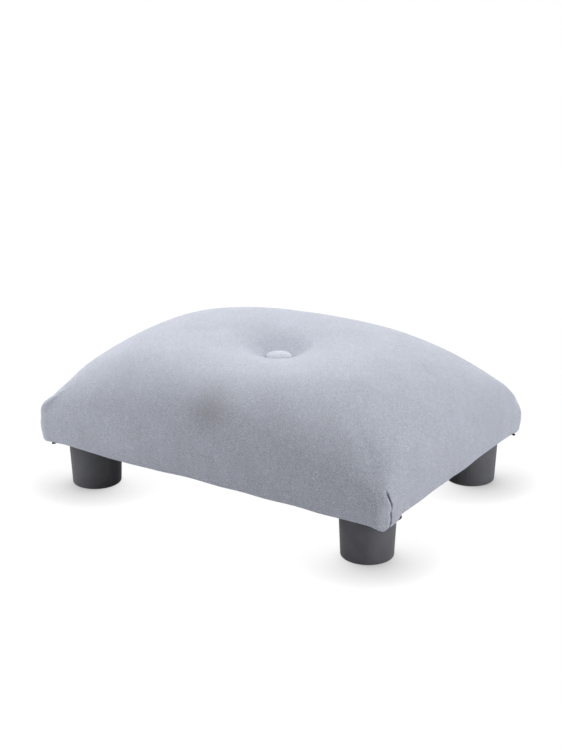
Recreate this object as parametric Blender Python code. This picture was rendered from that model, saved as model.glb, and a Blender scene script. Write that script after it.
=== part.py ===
"""Upholstered footstool: a padded board on four plastic legs, with one covered button.

Metres, +Z up. The origin is on the floor under the middle of the stool, and +X runs
along its long side. A board carries the foam, the wadding and the cover. The cover is
pulled round the board's edge and lies flat against its underside, where a dust cover
closes it off. Each leg is a hollow moulding with a stud, screwed into a tee nut in the
board. The button is pulled down into the pad by a twine that is stapled under the board.
"""

import math

import bmesh
import bpy
import numpy as np
from mathutils import Matrix

for leftover in list(bpy.data.objects):
    bpy.data.objects.remove(leftover)

# Driving dimensions: the padded body, seen from above, and the legs
BODY_LENGTH = 0.400
BODY_DEPTH = 0.300
BODY_CORNER = 0.012
LEG_HEIGHT = 0.050
BOARD_THICK = 0.016
COVER_THICK = 0.0012
WADDING_THICK = 0.005
FIT_GAP = 0.0003

# The pad's form, above the top of the legs: the height of a corner, how far the rim of a
# long and of a short side arches up between the corners, and the crown inside the rim
CORNER_RISE = 0.0238
LONG_SIDE_ARCH = 0.03144
SHORT_SIDE_ARCH = 0.04102
CROWN_RISE = 0.02941
LONG_ARCH_POWER = 1.544
SHORT_ARCH_POWER = 0.4
CROWN_POWER_ALONG = 6.07
CROWN_POWER_ACROSS = 2.73
CROWN_POWER = 0.883
SHOULDER_INSET = 0.0164
SHOULDER_CORNER = 0.001
SIDE_TUCK = 0.001
SIDE_SWELL = 0.0039
HEM_RADIUS = 0.008
FLAP_WIDTH = 0.032
FLAP_CORNER = 0.004

# The button and the hollow that it pulls into the pad
BUTTON_OFF_CENTRE = -0.009
BUTTON_DIAMETER = 0.028
BUTTON_HEIGHT = 0.007
BUTTON_SIDE = 0.0028
BUTTON_PROUD = 0.0016
BUTTON_CLOTH_THICK = 0.0007
BUTTON_METAL_THICK = 0.0005
BUTTON_TUCK = 0.003
HOLLOW_DEPTH = 0.02738
HOLLOW_REACH = 0.09527
HOLLOW_POWER = 2.319
PUCKER_DEPTH = 0.01253
PUCKER_REACH = 0.02973
PUCKER_RIM = 0.0025
WADDING_UNDER_BUTTON = 0.001

# The wire eye on the back of the button, and the twine through it
EYE_WIRE = 0.0014
EYE_INSIDE = 0.0044
EYE_DROP = 0.003
EYE_PLATE_DIAMETER = 0.010
TWINE_DIAMETER = 0.0008
TWINE_BEND = 0.002
TWINE_TAIL = 0.050

# Staples of flat wire: the ones in the dust cover, and those that hold the twine
STAPLE_CROWN = 0.009
STAPLE_LEG = 0.008
STAPLE_WIDE = 0.00095
STAPLE_THICK = 0.0005
STAPLE_SETBACK = 0.014
LONG_SIDE_STAPLES = 7
LONG_STAPLE_SPACING = 0.055
SHORT_SIDE_STAPLES = 3
SHORT_STAPLE_SPACING = 0.066
TWINE_STAPLES = 2
TWINE_STAPLE_SPACING = 0.016

# The dust cover, and the easing of the board's edges
DUST_COVER_THICK = 0.0004
DUST_COVER_SETBACK = 0.0085
BOARD_EASE = 0.0015

# A leg: a tapered cup with a boss and ribs
LEG_TOP_DIAMETER = 0.0545
LEG_FOOT_DIAMETER = 0.050
LEG_FROM_END = 0.039
LEG_FROM_SIDE = 0.043
LEG_WALL = 0.0025
LEG_FLOOR = 0.0035
LEG_EDGE = 0.0012
LEG_BOSS_DIAMETER = 0.020
LEG_BOSS_SUNK = 0.0005
LEG_RIB_THICK = 0.0018
LEG_RIB_SUNK = 0.004
LEG_RIBS = 6

# A stud with a hexagon head in each boss, and its tee nut in the board
STUD_DIAMETER = 0.008
STUD_HEAD_ACROSS = 0.013
STUD_HEAD_THICK = 0.0053
STUD_HEAD_DEPTH = 0.019
STUD_CHAMFER = 0.001
STUD_SHORT_OF_TOP = 0.002
TEE_FLANGE_DIAMETER = 0.022
TEE_FLANGE_THICK = 0.0014
TEE_BARREL_WALL = 0.0012
TEE_BARREL_LENGTH = 0.010
TEE_PRONG_LENGTH = 0.007
TEE_PRONG_WIDE = 0.004
TEE_PRONG_THICK = 0.0012
TEE_PRONGS = 4

# How finely round and soft forms are divided
CORNER_STEPS = 3
LONG_SIDE_STEPS = 6
SHORT_SIDE_STEPS = 6
ROUND_STEPS = 32
SMALL_ROUND_STEPS = 20
DOME_STEPS = 5
BEND_STEPS = 4
DOME_RING_SHARES = (0.8, 0.52, 0.28, 0.1)
SIDE_RING_SHARES = (0.3, 0.5, 0.7, 0.88)
LOW_HANDLE_SHARE = 0.67
HIGH_HANDLE_SHARE = 0.3
OVERRUN = 0.001

# Levels, from the floor up
DUST_COVER_LOW = LEG_HEIGHT + FIT_GAP
DUST_COVER_TOP = DUST_COVER_LOW + DUST_COVER_THICK
TWINE_STAPLE_LOW = DUST_COVER_TOP + FIT_GAP
TWINE_LEVEL = TWINE_STAPLE_LOW + STAPLE_THICK + FIT_GAP + TWINE_DIAMETER / 2
BOARD_LOW = TWINE_LEVEL + TWINE_DIAMETER / 2 + FIT_GAP
BOARD_TOP = BOARD_LOW + BOARD_THICK
FLAP_LOW = BOARD_LOW - FIT_GAP - COVER_THICK
FOAM_LOW = BOARD_TOP + FIT_GAP

# Places that several pieces share
HALF_LENGTH = BODY_LENGTH / 2
HALF_DEPTH = BODY_DEPTH / 2
BOARD_SETBACK = SIDE_TUCK + COVER_THICK + WADDING_THICK + 2 * FIT_GAP
FOAM_SETBACK = BOARD_SETBACK + FIT_GAP
LEG_X = HALF_LENGTH - LEG_FROM_END
LEG_Y = HALF_DEPTH - LEG_FROM_SIDE
BUTTON_CENTRE = (0, BUTTON_OFF_CENTRE, 0)
BUTTON_RADIUS = BUTTON_DIAMETER / 2
SEAT_RADIUS = BUTTON_RADIUS + FIT_GAP
POCKET_RADIUS = SEAT_RADIUS + PUCKER_RIM
EYE_SPREAD = (EYE_INSIDE + EYE_WIRE) / 2
CHANNEL_RADIUS = EYE_SPREAD + EYE_WIRE / 2 + FIT_GAP
QUARTER = math.pi / 2
HALF_BEND_SHARE = 1 - math.sqrt(0.5)


def make_material(name, colour, roughness, metallic=0.0):
    material = bpy.data.materials.new(name)
    material.use_nodes = True
    shader = material.node_tree.nodes["Principled BSDF"]
    shader.inputs["Base Color"].default_value = (*colour, 1.0)
    shader.inputs["Roughness"].default_value = roughness
    shader.inputs["Metallic"].default_value = metallic
    return material


def add_object(name, bm, material, smooth_angle=40):
    """Make a named object of a bmesh, facing outwards and shaded smooth but at sharp edges."""
    bmesh.ops.recalc_face_normals(bm, faces=bm.faces)
    mesh = bpy.data.meshes.new(name)
    bm.to_mesh(mesh)
    bm.free()
    mesh.materials.append(material)
    mesh.shade_smooth()
    mesh.set_sharp_from_angle(angle=math.radians(smooth_angle))
    body = bpy.data.objects.new(name, mesh)
    bpy.context.collection.objects.link(body)
    return body


def place_copy(name, pattern, x, y, turn=0.0):
    """Put a copy that shares the pattern's mesh at a place, turned about the vertical."""
    body = bpy.data.objects.new(name, pattern.data)
    bpy.context.collection.objects.link(body)
    body.matrix_world = Matrix.Translation((x, y, 0)) @ Matrix.Rotation(turn, 4, "Z")
    return body


def combine(body, tool, operation):
    """Cut the tool out of the body, or join it on, and drop the tool."""
    step = body.modifiers.new(tool.name, "BOOLEAN")
    step.operation = operation
    step.object = tool
    depsgraph = bpy.context.evaluated_depsgraph_get()
    mesh = bpy.data.meshes.new_from_object(body.evaluated_get(depsgraph))
    body.modifiers.clear()
    body.data = mesh
    bpy.data.objects.remove(tool)


def outline(inset, radius):
    """Plan points of a rounded rectangle, set in from the body's widest outline.

    The points run anticlockwise from the middle of the +X end, one for each column of the
    soft forms, so that outlines with different insets match point for point.
    """
    half_x = HALF_LENGTH - inset
    half_y = HALF_DEPTH - inset
    straight_x = half_x - radius
    straight_y = half_y - radius
    quadrant = []
    for step in range(SHORT_SIDE_STEPS // 2):
        quadrant.append((half_x, straight_y * step / (SHORT_SIDE_STEPS // 2)))
    for step in range(CORNER_STEPS + 1):
        angle = QUARTER * step / CORNER_STEPS
        corner_x = straight_x + radius * math.cos(angle)
        corner_y = straight_y + radius * math.sin(angle)
        quadrant.append((corner_x, corner_y))
    for step in range(1, LONG_SIDE_STEPS // 2):
        quadrant.append((straight_x * (1 - step / (LONG_SIDE_STEPS // 2)), half_y))
    points = np.array(quadrant)
    mirrored = np.vstack([[(0, half_y)], points[:0:-1] * (-1, 1)])
    half = np.vstack([points, mirrored])
    return np.vstack([half, half * (-1, -1)])


def body_outline(inset):
    """The body's outline set in by a distance, with its corners drawn tighter by as much."""
    return outline(inset, max(BODY_CORNER - inset, SHOULDER_CORNER))


COLUMNS = len(body_outline(0))


def button_circle(radius):
    """Plan points of a circle round the button, one for each column."""
    angles = 2 * math.pi * np.arange(COLUMNS) / COLUMNS
    across = BUTTON_OFF_CENTRE + radius * np.sin(angles)
    return np.column_stack([radius * np.cos(angles), across])


def at_height(plan, height):
    """Plan points lifted to one height, or each to its own."""
    return np.column_stack([plan, np.broadcast_to(height, len(plan))])


def pad_height(plan):
    """Height of the stuffed pad over plan points: two arches, a crown and the hollow."""
    corner_cut = BODY_CORNER * HALF_BEND_SHARE
    along = np.minimum(np.abs(plan[:, 0]) / (HALF_LENGTH - corner_cut), 1)
    across = np.minimum(np.abs(plan[:, 1]) / (HALF_DEPTH - corner_cut), 1)
    from_button = np.hypot(plan[:, 0], plan[:, 1] - BUTTON_OFF_CENTRE)
    arches = LONG_SIDE_ARCH * (1 - along**2) ** LONG_ARCH_POWER
    arches += SHORT_SIDE_ARCH * (1 - across**2) ** SHORT_ARCH_POWER
    flatness = (1 - along**CROWN_POWER_ALONG) * (1 - across**CROWN_POWER_ACROSS)
    crown = CROWN_RISE * flatness**CROWN_POWER
    hollow = HOLLOW_DEPTH * np.exp(-((from_button / HOLLOW_REACH) ** HOLLOW_POWER))
    pucker = PUCKER_DEPTH * np.exp(-((from_button / PUCKER_REACH) ** 2))
    return LEG_HEIGHT + CORNER_RISE + arches + crown - hollow - pucker


POCKET_LEVEL = float(pad_height(button_circle(POCKET_RADIUS)).mean())
BUTTON_LOW = POCKET_LEVEL + BUTTON_PROUD - BUTTON_HEIGHT
SEAT_LEVEL = BUTTON_LOW - FIT_GAP


def curve_place(start, start_handle, end_handle, end, share):
    """A place on a smooth curve that leaves and meets its ends along two handles."""
    rest = 1 - share
    near_start = rest**3 * start + 3 * rest**2 * share * start_handle
    return near_start + 3 * rest * share**2 * end_handle + share**3 * end


def pad_rings():
    """Rings of points over the cover's outer face, from the flap's edge to the twine hole."""
    hem_half = HEM_RADIUS * HALF_BEND_SHARE
    side_foot = FLAP_LOW + HEM_RADIUS
    rings = [
        at_height(outline(FLAP_WIDTH, FLAP_CORNER), FLAP_LOW),
        at_height(body_outline(SIDE_TUCK + HEM_RADIUS), FLAP_LOW),
        at_height(body_outline(SIDE_TUCK + hem_half), FLAP_LOW + hem_half),
        at_height(body_outline(SIDE_TUCK), side_foot),
    ]
    shoulder_plan = body_outline(SHOULDER_INSET)
    shoulder_level = pad_height(shoulder_plan)
    climb = pad_height(body_outline(SHOULDER_INSET + OVERRUN)) - shoulder_level
    edge_level = shoulder_level - climb * SHOULDER_INSET / OVERRUN
    low_handle = side_foot + (edge_level - side_foot) * LOW_HANDLE_SHARE
    high_handle = edge_level + (shoulder_level - edge_level) * HIGH_HANDLE_SHARE
    handle_inset = SHOULDER_INSET * HIGH_HANDLE_SHARE
    for share in SIDE_RING_SHARES:
        inset = curve_place(SIDE_TUCK, -SIDE_SWELL, handle_inset, SHOULDER_INSET, share)
        level = curve_place(side_foot, low_handle, high_handle, shoulder_level, share)
        rings.append(at_height(body_outline(inset), level))
    rings.append(at_height(shoulder_plan, shoulder_level))
    pocket_plan = button_circle(POCKET_RADIUS)
    for share in DOME_RING_SHARES:
        plan = pocket_plan + (shoulder_plan - pocket_plan) * share
        rings.append(at_height(plan, pad_height(plan)))
    rings.append(at_height(pocket_plan, POCKET_LEVEL))
    rings.append(at_height(button_circle(SEAT_RADIUS), SEAT_LEVEL))
    rings.append(at_height(button_circle(CHANNEL_RADIUS), SEAT_LEVEL))
    return np.array(rings)


# Places of named rings in the list above
HEM_FOOT_RING = 1
SIDE_FOOT_RING = 3
WIDEST_RING = 4
SHOULDER_RING = WIDEST_RING + len(SIDE_RING_SHARES)
POCKET_RING = SHOULDER_RING + len(DOME_RING_SHARES) + 1
CHANNEL_RING = POCKET_RING + 2


def outward(rings):
    """Unit directions straight out of a grid of rings, upright where the face is flat."""
    along = np.gradient(rings, axis=0)
    round_about = np.roll(rings, -1, axis=1) - np.roll(rings, 1, axis=1)
    across = np.cross(round_about, along)
    across /= np.linalg.norm(across, axis=2, keepdims=True)
    across[: HEM_FOOT_RING + 1] = (0, 0, -1)
    across[CHANNEL_RING] = (0, 0, 1)
    return across


PAD = pad_rings()
PAD_OUTWARD = outward(PAD)


def pad_layer(depths):
    """The pad's face moved inwards, by one depth for each ring."""
    layer = PAD - PAD_OUTWARD * np.reshape(depths, (-1, 1, 1))
    layer[CHANNEL_RING, :, :2] = PAD[CHANNEL_RING, :, :2]
    return layer


def closed_loft(name, outer, inner, material):
    """One closed body between an outer and an inner run of rings, joined at both ends.

    Both runs are split into triangles the same way, so that layers nest face to face.
    """
    bm = bmesh.new()
    outside = [[bm.verts.new(point) for point in ring] for ring in outer]
    inside = [[bm.verts.new(point) for point in ring] for ring in inner]
    strips = list(zip(outside, outside[1:])) + list(zip(inside, inside[1:]))
    strips += [(outside[0], inside[0]), (outside[-1], inside[-1])]
    for ring, after in strips:
        for column, vert in enumerate(ring):
            beside = (column + 1) % len(ring)
            bm.faces.new((vert, ring[beside], after[beside]))
            bm.faces.new((vert, after[beside], after[column]))
    return add_object(name, bm, material)


def plate(name, plan, low, high, ease, material):
    """A flat plate with a given outline, its upper and lower edges eased if asked."""
    bm = bmesh.new()
    face = bm.faces.new([bm.verts.new((x, y, low)) for x, y in plan])
    grown = bmesh.ops.extrude_face_region(bm, geom=[face])["geom"]
    top = [item for item in grown if isinstance(item, bmesh.types.BMVert)]
    bmesh.ops.translate(bm, verts=top, vec=(0, 0, high - low))
    if ease:
        flat = [edge for edge in bm.edges if edge.verts[0].co.z == edge.verts[1].co.z]
        bmesh.ops.bevel(
            bm,
            geom=flat,
            offset=ease,
            offset_type="OFFSET",
            segments=1,
            profile=0.5,
            affect="EDGES",
        )
    return add_object(name, bm, material)


def turned(name, profile, steps, material, centre=(0, 0, 0)):
    """A solid turned about the vertical through a centre, from (radius, height) points."""
    bm = bmesh.new()
    verts = [bm.verts.new((radius, 0, height)) for radius, height in profile]
    edges = [bm.edges.new(pair) for pair in zip(verts, verts[1:])]
    if profile[0][0] > 0:
        edges.append(bm.edges.new((verts[-1], verts[0])))
    bmesh.ops.spin(
        bm,
        geom=verts + edges,
        cent=(0, 0, 0),
        axis=(0, 0, 1),
        angle=2 * math.pi,
        steps=steps,
        use_merge=True,
    )
    bmesh.ops.remove_doubles(bm, verts=bm.verts, dist=FIT_GAP / ROUND_STEPS)
    bmesh.ops.translate(bm, verts=bm.verts, vec=centre)
    return add_object(name, bm, material)


def extruded(name, profile, wide, material, turns=(0,)):
    """A profile of (across, height) points thickened along Y, once for each turn about Z."""
    bm = bmesh.new()
    for turn in turns:
        verts = [bm.verts.new((across, -wide / 2, height)) for across, height in profile]
        face = bm.faces.new(verts)
        grown = bmesh.ops.extrude_face_region(bm, geom=[face])["geom"]
        far = [item for item in grown if isinstance(item, bmesh.types.BMVert)]
        bmesh.ops.translate(bm, verts=far, vec=(0, wide, 0))
        bmesh.ops.rotate(bm, verts=verts + far, matrix=Matrix.Rotation(turn, 3, "Z"))
    return add_object(name, bm, material)


def tube(name, route, diameter, material):
    """A round tube along a route of points, with closed ends."""
    curve = bpy.data.curves.new(name, "CURVE")
    curve.dimensions = "3D"
    curve.bevel_depth = diameter / 2
    curve.bevel_resolution = 2
    curve.use_fill_caps = True
    spline = curve.splines.new("POLY")
    spline.points.add(len(route) - 1)
    for point, place in zip(spline.points, route):
        point.co = (*place, 1)
    guide = bpy.data.objects.new(name, curve)
    bm = bmesh.new()
    bm.from_mesh(guide.to_mesh())
    bmesh.ops.remove_doubles(bm, verts=bm.verts, dist=FIT_GAP / ROUND_STEPS)
    bpy.data.objects.remove(guide)
    return add_object(name, bm, material)


def arc(centre, radius, start, end, steps):
    """Points (across, height) on an arc about a centre, by angles in quarter turns."""
    angles = np.linspace(start, end, steps + 1) * QUARTER
    return [(centre[0] + radius * math.cos(a), centre[1] + radius * math.sin(a)) for a in angles]


# The cover: one velvet panel, drawn over the pad and turned under the board
VELVET = make_material("velvet", (0.50, 0.52, 0.58), 0.85)


def make_cover():
    inner = pad_layer([COVER_THICK] * len(PAD))
    return closed_loft("cover", PAD, inner, VELVET)


# The wadding: a soft sheet over the foam and down the board's edge
WADDING = make_material("wadding", (0.85, 0.85, 0.83), 0.95)


def wadding_thickness():
    """The wadding's thickness at each ring, pressed thin towards and under the button."""
    thick = np.full(len(PAD), WADDING_THICK)
    thick[POCKET_RING - 1] = (WADDING_THICK + WADDING_UNDER_BUTTON) / 2
    thick[POCKET_RING:] = WADDING_UNDER_BUTTON
    return thick


def make_wadding():
    outer = pad_layer([COVER_THICK + FIT_GAP] * len(PAD))[SIDE_FOOT_RING:]
    inner = pad_layer(COVER_THICK + FIT_GAP + wadding_thickness())[SIDE_FOOT_RING:]
    return closed_loft("wadding", outer, inner, WADDING)


# The foam block: flat on the board, pressed to a dome by the cover and the button
FOAM = make_material("foam", (0.80, 0.74, 0.55), 0.95)


def make_foam():
    upper = pad_layer(COVER_THICK + 2 * FIT_GAP + wadding_thickness())[WIDEST_RING:]
    foot = at_height(body_outline(FOAM_SETBACK), FOAM_LOW)
    channel_foot = at_height(upper[-1][:, :2], FOAM_LOW)
    return closed_loft("foam_block", [foot, *upper], [channel_foot], FOAM)


# The board, with holes for the tee nuts, the twine and the staples
BOARD = make_material("fibreboard", (0.42, 0.29, 0.17), 0.8)
CUTTER = make_material("cutter", (0.8, 0.2, 0.2), 0.5)


def make_board():
    plan = body_outline(BOARD_SETBACK)
    return plate("base_board", plan, BOARD_LOW, BOARD_TOP, BOARD_EASE, BOARD)


# The dust cover: thin black cloth that closes the underside
DUST_CLOTH = make_material("dust_cloth", (0.015, 0.015, 0.016), 0.95)


def make_dust_cover():
    plan = body_outline(DUST_COVER_SETBACK)
    return plate("dust_cover", plan, DUST_COVER_LOW, DUST_COVER_TOP, 0, DUST_CLOTH)


# Staples: a crown and two legs of flat wire, driven up into the board
STEEL = make_material("bright_steel", (0.60, 0.60, 0.62), 0.35, 1.0)


def staple_shape(name, crown_low, gap, material):
    """A staple with its crown along X, or, with a gap, the slot that its wire needs."""
    half_crown = STAPLE_CROWN / 2
    inside = half_crown - STAPLE_THICK
    top = crown_low + STAPLE_THICK + STAPLE_LEG + gap
    low = crown_low - gap
    under = crown_low + STAPLE_THICK + gap
    profile = [
        (-half_crown - gap, low),
        (half_crown + gap, low),
        (half_crown + gap, top),
        (inside - gap, top),
        (inside - gap, under),
        (gap - inside, under),
        (gap - inside, top),
        (-half_crown - gap, top),
    ]
    return extruded(name, profile, STAPLE_WIDE + 2 * gap, material)


def dust_staple_places():
    """Where the dust cover is stapled: (x, y, turn), all the way round."""
    places = []
    for side in (-1, 1):
        for step in range(LONG_SIDE_STAPLES):
            along = (step - (LONG_SIDE_STAPLES - 1) / 2) * LONG_STAPLE_SPACING
            places.append((along, side * (HALF_DEPTH - STAPLE_SETBACK), 0))
        for step in range(SHORT_SIDE_STAPLES):
            along = (step - (SHORT_SIDE_STAPLES - 1) / 2) * SHORT_STAPLE_SPACING
            places.append((side * (HALF_LENGTH - STAPLE_SETBACK), along, QUARTER))
    return places


def twine_staple_places():
    """Where the two tails of the twine are stapled to the board."""
    places = []
    for side in (-1, 1):
        for step in range(TWINE_STAPLES):
            away = CHANNEL_RADIUS + (step + 1) * TWINE_STAPLE_SPACING
            places.append((0, BUTTON_OFF_CENTRE + side * away, 0))
    return places


def make_staples(name, crown_low, places, cloths):
    """Make a run of staples, and cut the slots of their legs in the board and the cloths."""
    pattern = staple_shape(name, crown_low, 0, STEEL)
    slot = staple_shape("slot", crown_low, FIT_GAP, CUTTER)
    bm = bmesh.new()
    for x, y, turn in places:
        count = len(bm.verts)
        bm.from_mesh(slot.data)
        bm.verts.ensure_lookup_table()
        place = Matrix.Translation((x, y, 0)) @ Matrix.Rotation(turn, 4, "Z")
        bmesh.ops.transform(bm, matrix=place, verts=bm.verts[count:])
    bpy.data.objects.remove(slot)
    slots = add_object("slots", bm, CUTTER)
    for body in cloths:
        combine(body, place_copy("slots_copy", slots, 0, 0), "DIFFERENCE")
    bpy.data.objects.remove(slots)
    for number, (x, y, turn) in enumerate(places, start=1):
        place_copy(f"{name}_{number:02d}", pattern, x, y, turn)
    bpy.data.objects.remove(pattern)


# The legs: tapered cups of dark plastic, each with a boss and ribs inside
PLASTIC = make_material("dark_plastic", (0.055, 0.055, 0.06), 0.38)


def leg_wall_radius(height):
    """Outer radius of the tapered leg at a height."""
    taper = (LEG_TOP_DIAMETER - LEG_FOOT_DIAMETER) / 2
    return LEG_FOOT_DIAMETER / 2 + taper * height / LEG_HEIGHT


def make_leg():
    boss = LEG_BOSS_DIAMETER / 2
    profile = [
        (0, 0),
        (leg_wall_radius(0) - LEG_EDGE, 0),
        (leg_wall_radius(LEG_EDGE), LEG_EDGE),
        (leg_wall_radius(LEG_HEIGHT - LEG_EDGE), LEG_HEIGHT - LEG_EDGE),
        (leg_wall_radius(LEG_HEIGHT) - LEG_EDGE, LEG_HEIGHT),
        (leg_wall_radius(LEG_HEIGHT) - LEG_WALL, LEG_HEIGHT),
        (leg_wall_radius(LEG_FLOOR) - LEG_WALL, LEG_FLOOR),
        (boss, LEG_FLOOR),
        (boss, LEG_HEIGHT - LEG_BOSS_SUNK),
        (0, LEG_HEIGHT - LEG_BOSS_SUNK),
    ]
    leg = turned("leg", profile, ROUND_STEPS, PLASTIC)
    low = LEG_FLOOR - OVERRUN
    high = LEG_HEIGHT - LEG_RIB_SUNK
    rib_side = [
        (boss - OVERRUN, low),
        (leg_wall_radius(low) - LEG_WALL / 2, low),
        (leg_wall_radius(high) - LEG_WALL / 2, high),
        (boss - OVERRUN, high),
    ]
    turns = [2 * math.pi * rib / LEG_RIBS for rib in range(LEG_RIBS)]
    combine(leg, extruded("ribs", rib_side, LEG_RIB_THICK, PLASTIC, turns), "UNION")
    combine(leg, stud_shape("stud_room", FIT_GAP, PLASTIC), "DIFFERENCE")
    return leg


# The studs: hexagon head held in the boss, shank up into the tee nut
def stud_shape(name, gap, material):
    head_top = LEG_HEIGHT - STUD_HEAD_DEPTH
    head_low = head_top - STUD_HEAD_THICK
    shank = STUD_DIAMETER / 2 + gap
    tip = BOARD_TOP - STUD_SHORT_OF_TOP
    profile = [
        (0, head_low + OVERRUN),
        (shank, head_low + OVERRUN),
        (shank, tip - STUD_CHAMFER),
        (shank - STUD_CHAMFER, tip),
        (0, tip),
    ]
    stud = turned(name, profile, SMALL_ROUND_STEPS, material)
    bm = bmesh.new()
    corner = STUD_HEAD_ACROSS / math.sqrt(3) + gap
    bmesh.ops.create_cone(
        bm,
        cap_ends=True,
        segments=6,
        radius1=corner,
        radius2=corner,
        depth=STUD_HEAD_THICK + 2 * gap,
    )
    bmesh.ops.translate(bm, verts=bm.verts, vec=(0, 0, (head_low + head_top) / 2))
    combine(stud, add_object("head", bm, material), "UNION")
    return stud


# The tee nuts: pressed into the board from above, flange flush, with four prongs
ZINC = make_material("zinc_plate", (0.55, 0.55, 0.52), 0.4, 1.0)


def tee_nut_shape(name, gap, material):
    """A tee nut, or, with a gap, the solid plug of the room that it needs in the board."""
    flange_low = BOARD_TOP - TEE_FLANGE_THICK
    barrel_low = flange_low - TEE_BARREL_LENGTH
    bore = STUD_DIAMETER / 2 + FIT_GAP
    barrel = bore + TEE_BARREL_WALL + gap
    flange = TEE_FLANGE_DIAMETER / 2 + gap
    if gap:
        inside = 0
        bottom = BOARD_LOW - OVERRUN
        top = BOARD_TOP + OVERRUN
    else:
        inside = bore
        bottom = barrel_low
        top = BOARD_TOP
    profile = [
        (inside, bottom),
        (barrel, bottom),
        (barrel, flange_low - gap),
        (flange, flange_low - gap),
        (flange, top),
        (inside, top),
    ]
    nut = turned(name, profile, SMALL_ROUND_STEPS, material)
    outer = TEE_FLANGE_DIAMETER / 2 - OVERRUN
    inner = outer - TEE_PRONG_THICK - gap
    low = flange_low - TEE_PRONG_LENGTH - gap
    high = flange_low + TEE_FLANGE_THICK / 2
    prong_side = [(inner, low), (outer + gap, low), (outer + gap, high), (inner, high)]
    turns = [2 * math.pi * prong / TEE_PRONGS for prong in range(TEE_PRONGS)]
    combine(nut, extruded("prongs", prong_side, TEE_PRONG_WIDE + 2 * gap, material, turns), "UNION")
    return nut


def make_leg_sets(board, dust_cover):
    """Four legs, studs and tee nuts, and their holes in the board and the dust cover."""
    leg = make_leg()
    stud = stud_shape("stud", 0, STEEL)
    nut = tee_nut_shape("tee_nut", 0, ZINC)
    room = tee_nut_shape("room", FIT_GAP, CUTTER)
    hole = STUD_DIAMETER / 2 + FIT_GAP
    low = DUST_COVER_LOW - OVERRUN
    high = DUST_COVER_TOP + OVERRUN
    drill_side = [(0, low), (hole, low), (hole, high), (0, high)]
    drill = turned("drill", drill_side, SMALL_ROUND_STEPS, CUTTER)
    number = 0
    for x in (-LEG_X, LEG_X):
        for y in (-LEG_Y, LEG_Y):
            number += 1
            place_copy(f"leg_{number}", leg, x, y)
            place_copy(f"leg_stud_{number}", stud, x, y)
            place_copy(f"tee_nut_{number}", nut, x, y)
            combine(board, place_copy("room_copy", room, x, y), "DIFFERENCE")
            combine(dust_cover, place_copy("drill_copy", drill, x, y), "DIFFERENCE")
    for pattern in (leg, stud, nut, room, drill):
        bpy.data.objects.remove(pattern)


# The button: a metal cap covered in the same velvet, closed by a back with a wire eye
def button_profile(inset, low):
    """Outer side of a button shell set in by a distance, from its foot to the top."""
    radius = BUTTON_RADIUS - inset
    side_top = BUTTON_LOW + BUTTON_SIDE
    rise = BUTTON_LOW + BUTTON_HEIGHT - inset - side_top
    angles = np.linspace(0, QUARTER, DOME_STEPS + 1)[:-1]
    dome = [(radius * math.cos(a), side_top + rise * math.sin(a)) for a in angles]
    return [(radius, low), *dome, (0, side_top + rise)]


def make_button():
    cloth_top = BUTTON_LOW + BUTTON_CLOTH_THICK
    cap_inset = BUTTON_CLOTH_THICK + FIT_GAP
    cap_low = cloth_top + FIT_GAP
    under = BUTTON_CLOTH_THICK + BUTTON_TUCK
    lip = BUTTON_RADIUS - under
    cloth_outer = button_profile(0, cloth_top)
    cloth_inner = button_profile(BUTTON_CLOTH_THICK, cloth_top)
    foot = [(lip, cloth_top), (lip, BUTTON_LOW), (BUTTON_RADIUS - BUTTON_CLOTH_THICK, BUTTON_LOW)]
    cloth = [*cloth_inner[::-1], *foot, *cloth_outer]
    turned("button_cloth", cloth, SMALL_ROUND_STEPS, VELVET, BUTTON_CENTRE)
    cap_outer = button_profile(cap_inset, cap_low)
    cap_inner = button_profile(cap_inset + BUTTON_METAL_THICK, cap_low)
    cap = [*cap_inner[::-1], *cap_outer]
    turned("button_cap", cap, SMALL_ROUND_STEPS, ZINC, BUTTON_CENTRE)
    back_radius = BUTTON_RADIUS - cap_inset - BUTTON_METAL_THICK - FIT_GAP
    back_top = cap_low + BUTTON_METAL_THICK
    slot = CHANNEL_RADIUS
    back = [(slot, cap_low), (back_radius, cap_low), (back_radius, back_top), (slot, back_top)]
    turned("button_back", back, SMALL_ROUND_STEPS, ZINC, BUTTON_CENTRE)
    eye_plate = back_top + FIT_GAP
    plate_top = eye_plate + BUTTON_METAL_THICK
    plate_radius = EYE_PLATE_DIAMETER / 2
    disc = [(0, eye_plate), (plate_radius, eye_plate), (plate_radius, plate_top), (0, plate_top)]
    eye = turned("button_eye", disc, SMALL_ROUND_STEPS, STEEL, BUTTON_CENTRE)
    bend = arc((0, EYE_LEVEL + EYE_SPREAD), EYE_SPREAD, 2, 4, 2 * BEND_STEPS)
    joint = (eye_plate + plate_top) / 2
    route = [(bend[0][0], joint), *bend, (bend[-1][0], joint)]
    wire = tube("eye_wire", [(x, BUTTON_OFF_CENTRE, z) for x, z in route], EYE_WIRE, STEEL)
    combine(eye, wire, "UNION")


# The twine: once through the eye, both tails down through the pad and the board
EYE_LEVEL = BUTTON_LOW - EYE_DROP - EYE_SPREAD
TWINE_SPREAD = EYE_WIRE / 2 + FIT_GAP + TWINE_DIAMETER / 2
TWINE = make_material("waxed_twine", (0.75, 0.73, 0.68), 0.6)


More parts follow.
